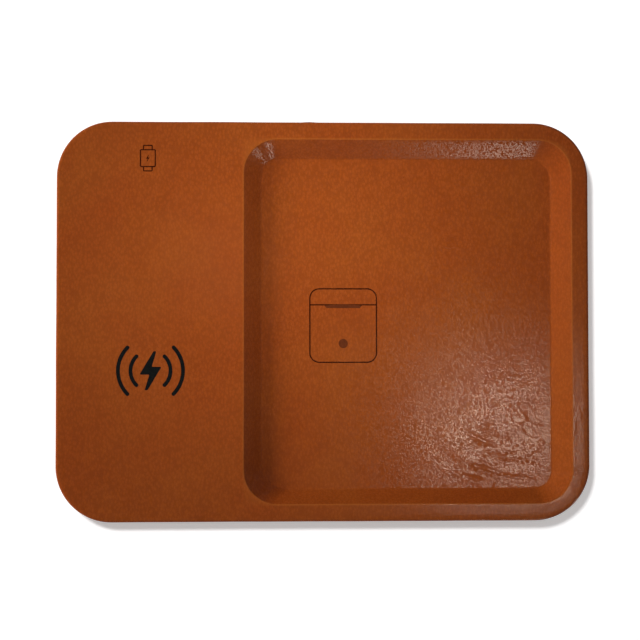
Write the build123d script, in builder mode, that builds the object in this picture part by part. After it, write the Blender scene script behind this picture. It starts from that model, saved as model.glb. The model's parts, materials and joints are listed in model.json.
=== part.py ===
"""Leather-wrapped catch-all tray that charges a phone, a watch and an earbuds case.

The origin is the centre of the footprint, on the table. +X is to the right with the phone pad on
the left, +Y is towards the rear edge with the power inlet, and +Z is up. All sizes are millimetres.
"""

from build123d import *
import math
import os

os.makedirs("parts", exist_ok=True)

# Tray
tray_length = 268.8
tray_width = 201.4
tray_height = 18.0
tray_corner = 28.0
edge_rounding = 1.8
overrun = 1.0
fit = 0.3

# Leather
leather_thickness = 1.0
hem_width = 5.0
hem_rounding = 0.8
mark_depth = 0.3

# Pressed-in tray on the right
rim_width = 8.75
phone_pad_width = 94.0
recess_depth = 9.0
recess_slope = 8.9
front_slope = 6.8
recess_corner = 17.0
lip_rounding = 1.6
floor_rounding = 2.5

# Shell and base cover
shell_wall = 1.8
base_thickness = 2.0
base_inset = 2.5
base_chamfer = 0.6
foot_protrusion = 1.2
foot_thickness = 2.0
foot_diameter = 16.0
foot_chamfer = 0.5
foot_inset_x = 30.0
foot_inset_y = 28.0

# Base screws and the bosses that take them
screw_inset = 9.0
corner_screw_inset = 22.0
screw_column_spacing = 50.0
boss_diameter = 6.0
base_screw_diameter = 2.5
base_screw_length = 7.0
base_screw_head_diameter = 4.6
base_screw_head_height = 1.4
pilot_depth = 6.0
thread_clearance = 0.1
roof_pilot = 1.0
drive_width = 0.7
drive_length = 2.4
drive_depth = 0.7

# Posts that hold up the floor of the pressed-in tray
post_diameter = 6.0
post_place_shares = [(-0.3, -0.3), (-0.3, 0.3), (0, -0.3), (0, 0.3), (0.3, -0.3), (0.3, 0), (0.3, 0.3)]

# Places of the three marks, each over its coil
phone_from_left = 47.35
phone_row_share = -0.1236
watch_from_left = 45.75
watch_from_rear = 18.65
earbuds_from_pad = 50.5
earbuds_row_share = -0.0101

# Phone mark: a bolt between two pairs of waves
wave_stroke = 1.95
outer_wave_half_width = 16.25
outer_wave_half_height = 11.65
outer_wave_setback = 4.75
inner_wave_half_width = 10.0
inner_wave_half_height = 7.2
inner_wave_setback = 3.0
bolt_width = 11.0
bolt_height = 19.5
bolt_rounding = 0.4
half_bolt_shares = [(0.132, 0.5), (0.264, 0.5), (0.055, 0.1), (0.5, 0.1)]

# Watch mark: a case between two strap stubs
watch_line = 0.6
watch_case_width = 8.05
watch_case_height = 9.1
watch_case_corner = 0.8
strap_width = 4.9
strap_stub = 2.2
strap_corner = 0.7
small_bolt_width = 1.8
small_bolt_height = 3.3
small_bolt_rounding = 0.05

# Earbuds mark: a case with its lid line, thumb notch and dot
case_line = 0.65
case_width = 34.7
case_height = 38.15
case_corner = 5.2
case_lid_height = 8.5
notch_top = 19.6
notch_bottom = 17.0
notch_depth = 1.7
dot_diameter = 4.7
dot_height = 9.9

# Windings
winding_clearance = 0.1
crossing_clearance = 0.2
phone_wire = 1.0
phone_pitch = 1.5
phone_half_turns = 19
phone_winding_diameter = 50.0
watch_wire = 0.8
watch_pitch = 1.25
watch_half_turns = 9
watch_winding_diameter = 24.0
earbuds_wire = 0.7
earbuds_pitch = 1.25
earbuds_half_turns = 13
earbuds_winding_diameter = 34.0

# Phone coil's ferrite, foam and bracket
phone_ferrite_side = 53.0
phone_ferrite_thickness = 1.5
phone_ferrite_corner = 4.0
lead_slot_width = 2.2
foam_side = 48.0
foam_thickness = 1.8
foam_hole_diameter = 20.0
bracket_side = 58.0
bracket_thickness = 1.5
bracket_corner = 5.0
bracket_fence = 1.2
bracket_fence_height = 2.6
bracket_window_diameter = 16.0
ear_column_spacing = 62.0
ear_row_spacing = 42.0
ear_diameter = 8.0
coil_boss_diameter = 5.0

# Watch coil's ferrite, magnet and holder
watch_ferrite_diameter = 27.0
watch_ferrite_thickness = 1.2
magnet_diameter = 10.0
magnet_height = 2.2
holder_thickness = 1.4
holder_fence = 1.0
holder_fence_height = 0.9
holder_ear_spacing = 38.0
holder_ear_width = 7.0

# Earbuds coil's tape, ferrite and foam
tape_thickness = 0.2
earbuds_ferrite_side = 36.0
earbuds_ferrite_thickness = 1.1
earbuds_ferrite_corner = 3.0
earbuds_foam_side = 32.0

# Small screws with a round head
small_screw_diameter = 2.2
small_screw_length = 5.0
watch_screw_length = 4.2
small_head_diameter = 4.0
small_head_height = 1.4
small_drive_length = 2.2

# Main board
board_left_gap = 15.0
board_right_gap = 8.9
board_width = 32.0
board_thickness = 1.6
board_corner = 2.0
board_hole_inset = 3.5
standoff_height = 3.0
standoff_diameter = 5.0

# Parts on the main board, placed as shares of its length and width from its centre
chip_side = 7.0
chip_height = 0.9
chip_place_shares = [(-0.17, 0.15), (-0.17, -0.17), (0.28, -0.19)]
inductor_side = 7.5
inductor_height = 3.2
inductor_rounding = 1.2
inductor_place_shares = [(-0.33, 0.17), (-0.33, -0.17), (0.28, 0.15)]
capacitor_length = 3.2
capacitor_width = 2.5
capacitor_height = 1.8
capacitor_column_shares = [-0.05, 0.02, 0.09, 0.16]
capacitor_row_shares = [-0.15, 0.02, 0.19]

# Connectors
connector_depth = 5.0
connector_inset = 0.5
connector_wall = 1.5
connector_window_depth = 0.8
coil_connector_height = 4.5
coil_pin_pitch = 2.0
harness_connector_height = 3.0
harness_pin_pitch = 1.6
harness_wire = 1.2
harness_pins = 4
phone_connector_offset = 5.0
watch_connector_offset = -2.5
earbuds_connector_share = -0.17
harness_connector_share = 0.14

# Leads
lead_approach = 3.2
lead_margin = 2.0
dip_start = 1.2
dip_end = 3.2
rise_clearance = 4.0
rise_length = 7.0
bend_share = 0.45
widest_bend = 5.0
gap_steps = 24

# Power inlet in the rear edge
port_from_pad = 33.15
usb_board_left = 21.0
usb_board_right = 15.0
usb_board_width = 11.4
usb_board_thickness = 1.0
usb_board_height = 1.1
usb_boss_spacing = 18.0
usb_boss_diameter = 4.4
usb_boss_setback = 4.1
usb_screw_length = 4.0
socket_width = 8.94
socket_height = 3.26
socket_length = 7.3
socket_wall = 0.35
socket_setback = 0.8
tongue_width = 6.7
tongue_height = 0.7
tongue_length = 5.2
tongue_root = 1.2
bezel_width = 13.0
bezel_height = 6.0
bezel_flange_width = 17.0
bezel_flange_thickness = 1.0
harness_turn = 8.0
harness_from_rear = 8.0

# Levels worked out from the sizes above
half_length = tray_length / 2
half_width = tray_width / 2
base_bottom = foot_protrusion
base_top = base_bottom + base_thickness
screw_seat = base_bottom + base_screw_head_height
hem_bottom = base_top - leather_thickness
shell_top = tray_height - leather_thickness
roof = shell_top - shell_wall
recess_floor = tray_height - recess_depth
ceiling = recess_floor - leather_thickness - shell_wall
wall_depth = leather_thickness + shell_wall

# Pressed-in tray worked out from its rim and the phone pad beside it
pad_right = phone_pad_width - half_length
recess_length = tray_length - phone_pad_width - rim_width
recess_width = tray_width - 2 * rim_width
recess_x = pad_right + recess_length / 2

# Centres of the three marks and their coils, and of the power inlet
phone_x = phone_from_left - half_length
phone_y = phone_row_share * tray_width
watch_x = watch_from_left - half_length
watch_y = half_width - watch_from_rear
earbuds_x = pad_right + earbuds_from_pad
earbuds_y = earbuds_row_share * tray_width
port_x = pad_right + port_from_pad

# Heights in the phone coil's stack
phone_coil_level = roof - winding_clearance - phone_wire / 2
phone_ferrite_top = phone_coil_level - phone_wire / 2 - winding_clearance
phone_ferrite_bottom = phone_ferrite_top - phone_ferrite_thickness
phone_slot_level = phone_coil_level - phone_wire - crossing_clearance
bracket_top = phone_ferrite_bottom - foam_thickness
bracket_bottom = bracket_top - bracket_thickness

# Heights in the watch coil's stack
watch_coil_level = roof - winding_clearance - watch_wire / 2
watch_ferrite_top = watch_coil_level - watch_wire / 2 - winding_clearance
watch_ferrite_bottom = watch_ferrite_top - watch_ferrite_thickness
watch_slot_level = watch_coil_level - watch_wire - crossing_clearance
holder_bottom = watch_ferrite_bottom - holder_thickness

# Heights in the earbuds coil's stack
tape_bottom = ceiling - tape_thickness
earbuds_coil_level = tape_bottom - winding_clearance - earbuds_wire / 2
earbuds_ferrite_top = earbuds_coil_level - earbuds_wire / 2 - winding_clearance
earbuds_ferrite_bottom = earbuds_ferrite_top - earbuds_ferrite_thickness
earbuds_slot_level = earbuds_coil_level - earbuds_wire - crossing_clearance

# Main board, midway between the phone coil's bracket and the watch coil's holder
board_bottom = base_top + standoff_height
board_top = board_bottom + board_thickness
bracket_rear = phone_y + bracket_side / 2
holder_front = watch_y - watch_ferrite_diameter / 2 - fit - holder_fence
board_length = phone_pad_width - board_left_gap - board_right_gap
board_x = board_left_gap - half_length + board_length / 2
board_y = (bracket_rear + holder_front) / 2
board_front = board_y - board_width / 2
board_rear = board_y + board_width / 2
board_right = board_x + board_length / 2
coil_lead_level = board_top + coil_connector_height / 2
earbuds_connector_y = board_y + earbuds_connector_share * board_width
harness_connector_y = board_y + harness_connector_share * board_width
harness_run_x = board_right + harness_turn
harness_run_y = half_width - harness_from_rear

# Power inlet's board and socket
usb_board_bottom = base_top + usb_board_height
usb_board_top = usb_board_bottom + usb_board_thickness
usb_board_rear = half_width - wall_depth - bezel_flange_thickness - fit
usb_board_front = usb_board_rear - usb_board_width
usb_boss_y = usb_board_rear - usb_boss_setback
port_level = usb_board_top + socket_height / 2
socket_mouth = half_width - socket_setback
harness_low = usb_board_top + harness_connector_height / 2
harness_high = board_top + harness_connector_height / 2

# Places that repeat
screw_row = half_width - screw_inset
screw_side = half_length - screw_inset
corner_screw_x = half_length - corner_screw_inset
screw_columns = [corner_screw_x, corner_screw_x - screw_column_spacing]
signs = (-1, 1)
base_screw_places = [(i * x, j * screw_row) for x in screw_columns for i in signs for j in signs]
base_screw_places += [(i * screw_side, 0) for i in signs]
foot_x = half_length - foot_inset_x
foot_y = half_width - foot_inset_y
foot_places = [(i * foot_x, j * foot_y) for i in signs for j in signs]
post_places = [(recess_x + x * recess_length, y * recess_width) for x, y in post_place_shares]
board_hole_x = board_length / 2 - board_hole_inset
board_hole_y = board_width / 2 - board_hole_inset
board_hole_places = [(board_x + i * board_hole_x, board_y + j * board_hole_y) for i in signs for j in signs]
ear_x = ear_column_spacing / 2
ear_y = ear_row_spacing / 2
phone_ear_places = [(phone_x + i * ear_x, phone_y + j * ear_y) for i in signs for j in signs]
watch_ear_places = [(watch_x + i * holder_ear_spacing / 2, watch_y) for i in signs]
usb_screw_places = [(port_x + i * usb_boss_spacing / 2, usb_boss_y) for i in signs]


def finish(piece, name):
    """Name a finished piece and write it."""
    piece.part.label = name
    export_step(piece.part, f"parts/{name}.step")


def slope_inset(level, growth, slope):
    """Plan distance from the tray's opening in to a sloped wall, for the wall moved out by growth."""
    wall_angle = math.atan2(recess_depth, slope)
    return (tray_height - level) * slope / recess_depth - growth / math.sin(wall_angle)


def recess_section(level, growth):
    """Outline of the pressed-in tray at a level, where the front wall is steeper than the others."""
    inset = slope_inset(level, growth, recess_slope)
    front_inset = slope_inset(level, growth, front_slope)
    section_width = recess_width - inset - front_inset
    with BuildSketch(Plane.XY.offset(level)) as section:
        with Locations((recess_x, (front_inset - inset) / 2)):
            RectangleRounded(recess_length - 2 * inset, section_width, recess_corner - inset)
    return section.sketch


def cut_recess(floor, growth):
    """Cut the pressed-in tray, from its floor up past the top, out of the open piece."""
    loft([recess_section(floor, growth), recess_section(tray_height + overrun, growth)], mode=Mode.SUBTRACT)


def tray_form(growth, bottom):
    """The whole tray's outer form from a bottom level up, with every surface moved in by growth."""
    top = tray_height - growth
    floor = recess_floor - growth
    with BuildPart() as form:
        with BuildSketch(Plane.XY.offset(bottom)):
            RectangleRounded(tray_length - 2 * growth, tray_width - 2 * growth, tray_corner - growth)
        extrude(amount=top - bottom)
        cut_recess(floor, growth)
        top_face = form.faces().sort_by(Axis.Z)[-1]
        rounded = edge_rounding - growth
        if rounded > 0:
            fillet(top_face.outer_wire().edges(), rounded)
        top_face = form.faces().sort_by(Axis.Z)[-1]
        rounded = lip_rounding - growth
        if rounded > 0:
            fillet(top_face.inner_wires()[0].edges(), rounded)
        floor_edges = form.edges().filter_by_position(Axis.Z, floor, floor)
        fillet(floor_edges, floor_rounding + growth)
    return form.part


def bend_radii(points):
    """As large a radius at each corner as its two runs and the slots beside them allow."""
    radii = []
    for before, corner, after in zip(points, points[1:], points[2:]):
        first = Vector(*corner) - Vector(*before)
        second = Vector(*after) - Vector(*corner)
        half_turn = math.radians(first.get_angle(second)) / 2
        shorter = min(first.length, second.length)
        radii.append(min(widest_bend, bend_share * shorter / math.tan(half_turn)))
    return radii


def lead(points, wire):
    """One insulated wire along straight runs joined by tangent arcs."""
    radii = bend_radii(points)
    with BuildLine() as path:
        FilletPolyline(*points, radius=radii)
    route = path.wire()
    with BuildSketch(Plane(origin=route @ 0, z_dir=route % 0)) as section:
        Circle(wire / 2)
    sweep(sections=section.sketch, path=route)
    return radii, route.length


def winding_path(diameter, wire, pitch, half_turns):
    """Flat spiral of half-turn arcs from its outer end, on +X, inwards and clockwise."""
    radius = (diameter - wire) / 2
    middle = 0
    arcs = []
    for half in range(half_turns):
        side = 1 if half % 2 == 0 else -1
        start = (middle + side * radius, 0)
        through = (middle, -side * radius)
        end = (middle - side * radius, 0)
        arcs.append((start, through, end))
        radius -= pitch / 2
        middle -= side * pitch / 2
    return arcs


def winding_end(diameter, wire, pitch, half_turns):
    """Distance of the winding's inner end from its centre."""
    return (diameter - wire) / 2 - (half_turns - 1) * pitch / 2


def winding(name, plane, diameter, wire, pitch, half_turns):
    """A flat coil as one unbroken tube."""
    arcs = winding_path(diameter, wire, pitch, half_turns)
    with BuildPart() as coil:
        with BuildLine(plane) as path:
            for start, through, end in arcs:
                ThreePointArc(start, through, end)
        route = path.wire()
        with BuildSketch(Plane(origin=route @ 0, z_dir=route % 0)) as section:
            Circle(wire / 2)
        sweep(sections=section.sketch, path=route)
    share = coil.part.volume / (section.sketch.area * route.length)
    points = [arc @ (step / gap_steps) for arc in path.edges() for step in range(gap_steps)]
    gaps = [(a - b).length - wire for i, a in enumerate(points) for b in points[i + gap_steps :]]
    print(f"{name}: volume to section times length {share:.4f}, least gap to itself {min(gaps):.2f}")
    finish(coil, name)
    return coil


def round_head_screws(name, places, seat, length, upward):
    """Screws with a round head and a cross drive, the head under or over a seat level."""
    away = 1 if upward else -1
    with BuildPart() as screws:
        with BuildSketch(Plane.XY.offset(seat)):
            with Locations(*places):
                Circle(small_screw_diameter / 2)
        extrude(amount=-away * length)
        with BuildSketch(Plane.XY.offset(seat)):
            with Locations(*places):
                Circle(small_head_diameter / 2)
        extrude(amount=away * small_head_height)
        outer = screws.faces().sort_by(Axis.Z, reverse=upward)[: len(places)]
        fillet(outer.edges(), small_head_height / 2)
        cut_drives(places, seat + away * small_head_height, small_drive_length, -away)
    finish(screws, name)
    return screws


def cut_drives(places, level, length, direction):
    """Cut a cross drive into each screw head."""
    with BuildSketch(Plane.XY.offset(level)) as drives:
        with Locations(*places):
            Rectangle(length, drive_width)
            Rectangle(drive_width, length)
    extrude(drives.sketch, amount=direction * drive_depth, mode=Mode.SUBTRACT)


def pillars(places, diameter, bottom, top):
    """Round pillars between two levels."""
    with BuildSketch(Plane.XY.offset(bottom)) as discs:
        with Locations(*places):
            Circle(diameter / 2)
    extrude(discs.sketch, amount=top - bottom)


def holes(places, diameter, bottom, top):
    """Round holes between two levels."""
    with BuildSketch(Plane.XY.offset(bottom)) as discs:
        with Locations(*places):
            Circle(diameter / 2)
    extrude(discs.sketch, amount=top - bottom, mode=Mode.SUBTRACT)


def bolt_outline(width, height, rounding):
    """A bolt that looks the same when it is turned half round."""
    half = [(x * width, y * height) for x, y in half_bolt_shares]
    points = half + [(-x, -y) for x, y in half]
    with BuildLine() as outline:
        FilletPolyline(*points, radius=rounding, close=True)
    make_face(outline.line.edges())


def phone_mark_sketch():
    """A bolt between two pairs of waves."""
    waves = [
        (outer_wave_half_width, outer_wave_half_height, outer_wave_setback),
        (inner_wave_half_width, inner_wave_half_height, inner_wave_setback),
    ]
    with BuildSketch(Plane(origin=(phone_x, phone_y, tray_height))) as mark:
        bolt_outline(bolt_width, bolt_height, bolt_rounding)
        for half_width_of_wave, half_height, setback in waves:
            for side in (-1, 1):
                tip_x = side * (half_width_of_wave - setback)
                arc = Edge.make_three_point_arc(
                    (tip_x, -half_height, 0), (side * half_width_of_wave, 0, 0), (tip_x, half_height, 0)
                )
                SlotArc(arc, wave_stroke)
    return mark.sketch


def watch_mark_sketch():
    """A watch case between two strap stubs, with a small bolt."""
    inner = 2 * watch_line
    strap_height = watch_case_height + 2 * strap_stub
    with BuildSketch(Plane(origin=(watch_x, watch_y, tray_height))) as mark:
        RectangleRounded(strap_width, strap_height, strap_corner)
        Rectangle(strap_width - inner, strap_height - inner, mode=Mode.SUBTRACT)
        RectangleRounded(watch_case_width, watch_case_height, watch_case_corner)
        RectangleRounded(
            watch_case_width - inner,
            watch_case_height - inner,
            watch_case_corner - watch_line,
            mode=Mode.SUBTRACT,
        )
        bolt_outline(small_bolt_width, small_bolt_height, small_bolt_rounding)
    return mark.sketch


def earbuds_mark_sketch():
    """An earbuds case with its lid line, thumb notch and dot."""
    inner = 2 * case_line
    lid_y = case_height / 2 - case_lid_height
    notch_points = [
        (-notch_top / 2, lid_y),
        (notch_top / 2, lid_y),
        (notch_bottom / 2, lid_y - notch_depth),
        (-notch_bottom / 2, lid_y - notch_depth),
    ]
    with BuildSketch(Plane(origin=(earbuds_x, earbuds_y, recess_floor))) as mark:
        RectangleRounded(case_width, case_height, case_corner)
        RectangleRounded(
            case_width - inner, case_height - inner, case_corner - case_line, mode=Mode.SUBTRACT
        )
        with Locations((0, lid_y)):
            Rectangle(case_width - case_line, case_line)
        with BuildLine():
            Polyline(*notch_points, close=True)
        make_face()
        with Locations((0, dot_height - case_height / 2)):
            Circle(dot_diameter / 2)
    return mark.sketch


# Marks, let into the leather
mark_sketches = {
    "phone_mark": phone_mark_sketch(),
    "watch_mark": watch_mark_sketch(),
    "earbuds_mark": earbuds_mark_sketch(),
}
for mark_name, mark_sketch in mark_sketches.items():
    with BuildPart() as mark_inlay:
        extrude(mark_sketch, amount=-mark_depth)
    finish(mark_inlay, mark_name)

# Leather cover: a skin over the shell, turned under its rim
skin_form = tray_form(0, hem_bottom)
shell_form = tray_form(leather_thickness, base_top)
with BuildPart() as leather_cover:
    add(skin_form)
    bottom_face = leather_cover.faces().sort_by(Axis.Z)[0]
    fillet(bottom_face.edges(), hem_rounding)
    add(shell_form, mode=Mode.SUBTRACT)
    with BuildSketch(Plane.XY.offset(hem_bottom - overrun)):
        RectangleRounded(tray_length - 2 * hem_width, tray_width - 2 * hem_width, tray_corner - hem_width)
    extrude(amount=leather_thickness + overrun, mode=Mode.SUBTRACT)
    for mark_sketch in mark_sketches.values():
        extrude(mark_sketch, amount=-mark_depth, mode=Mode.SUBTRACT)
    with BuildSketch(Plane.XZ.offset(-half_width - overrun)):
        with Locations((port_x, port_level)):
            SlotOverall(bezel_width + 2 * fit, bezel_height + 2 * fit)
    extrude(amount=wall_depth + overrun, mode=Mode.SUBTRACT)
finish(leather_cover, "leather_cover")

# Hollow of the upper shell, less the bosses for everything that hangs from it
with BuildPart() as shell_hollow:
    add(tray_form(wall_depth, base_top - overrun))
    holes(base_screw_places, boss_diameter, base_top - 2 * overrun, shell_top)
    holes(phone_ear_places, coil_boss_diameter, bracket_top, shell_top)
    holes(watch_ear_places, coil_boss_diameter, watch_ferrite_bottom, shell_top)
    holes(usb_screw_places, usb_boss_diameter, usb_board_top, shell_top)

# Upper shell: the moulding under the leather
with BuildPart() as upper_shell:
    add(shell_form)
    add(shell_hollow.part, mode=Mode.SUBTRACT)
    pilot = base_screw_diameter + thread_clearance
    small_pilot = small_screw_diameter + thread_clearance
    holes(base_screw_places, pilot, base_top, base_top + pilot_depth)
    holes(phone_ear_places, small_pilot, bracket_top, roof)
    holes(watch_ear_places, small_pilot, watch_ferrite_bottom, roof + roof_pilot)
    holes(usb_screw_places, small_pilot, usb_board_top, usb_board_top + usb_screw_length)
    with BuildSketch(Plane.XZ.offset(-half_width - overrun)):
        with Locations((port_x, port_level)):
            SlotOverall(bezel_width + 2 * fit, bezel_height + 2 * fit)
    extrude(amount=wall_depth + overrun + fit, mode=Mode.SUBTRACT)
finish(upper_shell, "upper_shell")

# Base cover: flat underside with standoffs, posts, foot pockets and screw holes
with BuildPart() as base_cover:
    with BuildSketch(Plane.XY.offset(base_bottom)):
        RectangleRounded(tray_length - 2 * base_inset, tray_width - 2 * base_inset, tray_corner - base_inset)
    extrude(amount=base_thickness)
    chamfer(base_cover.faces().sort_by(Axis.Z)[0].edges(), base_chamfer)
    hem_clear = hem_width + fit
    with BuildSketch(Plane.XY.offset(hem_bottom)):
        Rectangle(tray_length, tray_width)
        RectangleRounded(
            tray_length - 2 * hem_clear,
            tray_width - 2 * hem_clear,
            tray_corner - hem_clear,
            mode=Mode.SUBTRACT,
        )
    extrude(amount=leather_thickness + overrun, mode=Mode.SUBTRACT)
    pillars(board_hole_places, standoff_diameter, base_top, board_bottom)
    pillars(post_places, post_diameter, base_top, ceiling)
    foot_pocket = foot_thickness - foot_protrusion
    holes(foot_places, foot_diameter + fit, base_bottom - overrun, base_bottom + foot_pocket)
    holes(base_screw_places, base_screw_diameter + fit, base_bottom - overrun, base_top + overrun)
    holes(base_screw_places, base_screw_head_diameter + fit, base_bottom - overrun, screw_seat)
    holes(board_hole_places, small_screw_diameter + thread_clearance, base_top, board_bottom)
finish(base_cover, "base_cover")

# Rubber feet, each in its pocket
with BuildPart() as rubber_feet:
    pillars(foot_places, foot_diameter, 0, foot_thickness)
    chamfer(rubber_feet.edges().filter_by_position(Axis.Z, 0, 0), foot_chamfer)
finish(rubber_feet, "rubber_feet")

# Base screws, with their heads level with the underside
with BuildPart() as base_screws:
    pillars(base_screw_places, base_screw_head_diameter, base_bottom, screw_seat)
    pillars(base_screw_places, base_screw_diameter, base_bottom, base_bottom + base_screw_length)
    cut_drives(base_screw_places, base_bottom, drive_length, 1)
finish(base_screws, "base_screws")

# Windings, their axes turned so that both wire ends leave towards the main board
phone_plane = Plane(origin=(phone_x, phone_y, phone_coil_level))
watch_plane = Plane(origin=(watch_x, watch_y, watch_coil_level), x_dir=(-1, 0, 0))
earbuds_plane = Plane(origin=(earbuds_x, earbuds_y, earbuds_coil_level), x_dir=(0, 1, 0))
phone_turns = (phone_winding_diameter, phone_wire, phone_pitch, phone_half_turns)
watch_turns = (watch_winding_diameter, watch_wire, watch_pitch, watch_half_turns)
earbuds_turns = (earbuds_winding_diameter, earbuds_wire, earbuds_pitch, earbuds_half_turns)
winding("phone_coil", phone_plane, *phone_turns)
winding("watch_coil", watch_plane, *watch_turns)
winding("earbuds_coil", earbuds_plane, *earbuds_turns)


def lead_slot(start, width, length, side):
    """A slot cut out of the open sketch from a winding's inner end, out past its edge."""
    with Locations(start):
        Rectangle(width, length, align=side, mode=Mode.SUBTRACT)


# Phone coil's ferrite, slotted for the wire from the winding's middle
to_rear = (Align.CENTER, Align.MIN)
to_front = (Align.CENTER, Align.MAX)
to_left = (Align.MAX, Align.CENTER)
phone_slot_x = phone_x - winding_end(*phone_turns)
with BuildPart() as phone_ferrite:
    with BuildSketch(Plane.XY.offset(phone_ferrite_bottom)):
        with Locations((phone_x, phone_y)):
            RectangleRounded(phone_ferrite_side, phone_ferrite_side, phone_ferrite_corner)
        lead_slot((phone_slot_x, phone_y), lead_slot_width, phone_ferrite_side, to_rear)
    extrude(amount=phone_ferrite_thickness)
finish(phone_ferrite, "phone_ferrite")

# Foam that presses the ferrite up
with BuildPart() as phone_coil_foam:
    with BuildSketch(Plane.XY.offset(bracket_top)):
        with Locations((phone_x, phone_y)):
            Rectangle(foam_side, foam_side)
            Circle(foam_hole_diameter / 2, mode=Mode.SUBTRACT)
    extrude(amount=foam_thickness)
finish(phone_coil_foam, "phone_coil_foam")

# Bracket with a fence round the ferrite and four screwed ears
with BuildPart() as phone_coil_bracket:
    fence_inner = phone_ferrite_side + 2 * fit
    fence_outer = fence_inner + 2 * bracket_fence
    with BuildSketch(Plane.XY.offset(bracket_bottom)):
        with Locations((phone_x, phone_y)):
            RectangleRounded(bracket_side, bracket_side, bracket_corner)
        with Locations((phone_x, phone_y - ear_y), (phone_x, phone_y + ear_y)):
            SlotCenterToCenter(ear_column_spacing, ear_diameter)
        with Locations(*phone_ear_places):
            Circle(small_screw_diameter / 2 + fit, mode=Mode.SUBTRACT)
        with Locations((phone_x, phone_y)):
            Circle(bracket_window_diameter / 2, mode=Mode.SUBTRACT)
    extrude(amount=bracket_thickness)
    with BuildSketch(Plane.XY.offset(bracket_top)):
        with Locations((phone_x, phone_y)):
            RectangleRounded(fence_outer, fence_outer, phone_ferrite_corner + bracket_fence)
            RectangleRounded(fence_inner, fence_inner, phone_ferrite_corner, mode=Mode.SUBTRACT)
        lead_slot((phone_slot_x, phone_y), lead_slot_width, bracket_side, to_rear)
        with Locations(*phone_ear_places):
            Circle(coil_boss_diameter / 2 + fit, mode=Mode.SUBTRACT)
    extrude(amount=bracket_fence_height)
finish(phone_coil_bracket, "phone_coil_bracket")
round_head_screws("phone_bracket_screws", phone_ear_places, bracket_bottom, small_screw_length, False)

# Watch coil's ferrite disc, bored for its magnet and slotted for a wire
watch_slot_x = watch_x + winding_end(*watch_turns)
with BuildPart() as watch_ferrite:
    with BuildSketch(Plane.XY.offset(watch_ferrite_bottom)):
        with Locations((watch_x, watch_y)):
            Circle(watch_ferrite_diameter / 2)
            Circle(magnet_diameter / 2 + winding_clearance, mode=Mode.SUBTRACT)
        lead_slot((watch_slot_x, watch_y), watch_wire + 2 * fit, watch_ferrite_diameter, to_front)
    extrude(amount=watch_ferrite_thickness)
finish(watch_ferrite, "watch_ferrite")

# Magnet that holds the watch in place
with BuildPart() as watch_magnet:
    pillars([(watch_x, watch_y)], magnet_diameter, watch_ferrite_bottom, watch_ferrite_bottom + magnet_height)
finish(watch_magnet, "watch_magnet")

# Holder under the watch coil, with a fence and two screwed ears
with BuildPart() as watch_holder:
    fence_radius = watch_ferrite_diameter / 2 + fit
    with BuildSketch(Plane.XY.offset(holder_bottom)):
        with Locations((watch_x, watch_y)):
            Circle(fence_radius + holder_fence)
            SlotCenterToCenter(holder_ear_spacing, holder_ear_width)
        with Locations(*watch_ear_places):
            Circle(small_screw_diameter / 2 + fit, mode=Mode.SUBTRACT)
    extrude(amount=holder_thickness)
    with BuildSketch(Plane.XY.offset(watch_ferrite_bottom)):
        with Locations((watch_x, watch_y)):
            Circle(fence_radius + holder_fence)
            Circle(fence_radius, mode=Mode.SUBTRACT)
        lead_slot((watch_slot_x, watch_y), watch_wire + 2 * fit, watch_ferrite_diameter, to_front)
    extrude(amount=holder_fence_height)
finish(watch_holder, "watch_holder")
round_head_screws("watch_holder_screws", watch_ear_places, holder_bottom, watch_screw_length, False)

# Tape, ferrite and foam of the earbuds coil, under the floor of the pressed-in tray
with BuildPart() as earbuds_coil_tape:
    pillars([(earbuds_x, earbuds_y)], earbuds_winding_diameter, tape_bottom, ceiling)
finish(earbuds_coil_tape, "earbuds_coil_tape")
earbuds_slot_y = earbuds_y - winding_end(*earbuds_turns)
with BuildPart() as earbuds_ferrite:
    with BuildSketch(Plane.XY.offset(earbuds_ferrite_bottom)):
        with Locations((earbuds_x, earbuds_y)):
            RectangleRounded(earbuds_ferrite_side, earbuds_ferrite_side, earbuds_ferrite_corner)
        lead_slot((earbuds_x, earbuds_slot_y), earbuds_ferrite_side, earbuds_wire + 2 * fit, to_left)
    extrude(amount=earbuds_ferrite_thickness)
finish(earbuds_ferrite, "earbuds_ferrite")
with BuildPart() as earbuds_foam:
    with BuildSketch(Plane.XY.offset(base_top)):
        with Locations((earbuds_x, earbuds_y)):
            Rectangle(earbuds_foam_side, earbuds_foam_side)
    extrude(amount=earbuds_ferrite_bottom - base_top)
finish(earbuds_foam, "earbuds_foam")

# Main board on its standoffs
with BuildPart() as main_board:
    with BuildSketch(Plane.XY.offset(board_bottom)):
        with Locations((board_x, board_y)):
            RectangleRounded(board_length, board_width, board_corner)
        with Locations(*board_hole_places):
            Circle(small_screw_diameter / 2 + fit, mode=Mode.SUBTRACT)
    extrude(amount=board_thickness)
finish(main_board, "main_board")
round_head_screws("main_board_screws", board_hole_places, board_top, board_thickness + standoff_height, True)


def on_board(shares):
    """Places on the main board from shares of its length and width."""
    return [(board_x + x * board_length, board_y + y * board_width) for x, y in shares]


# Chips, inductors and capacitors on the main board
with BuildPart() as controller_chips:
    with BuildSketch(Plane.XY.offset(board_top)):
        with Locations(*on_board(chip_place_shares)):
            Rectangle(chip_side, chip_side)
    extrude(amount=chip_height)
finish(controller_chips, "controller_chips")
with BuildPart() as power_inductors:
    with BuildSketch(Plane.XY.offset(board_top)):
        with Locations(*on_board(inductor_place_shares)):
            RectangleRounded(inductor_side, inductor_side, inductor_rounding)
    extrude(amount=inductor_height)
finish(power_inductors, "power_inductors")
capacitor_shares = [(x, y) for x in capacitor_column_shares for y in capacitor_row_shares]
with BuildPart() as resonant_capacitors:
    with BuildSketch(Plane.XY.offset(board_top)):
        with Locations(*on_board(capacitor_shares)):
            Rectangle(capacitor_length, capacitor_width)
    extrude(amount=capacitor_height)
finish(resonant_capacitors, "resonant_capacitors")


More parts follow.
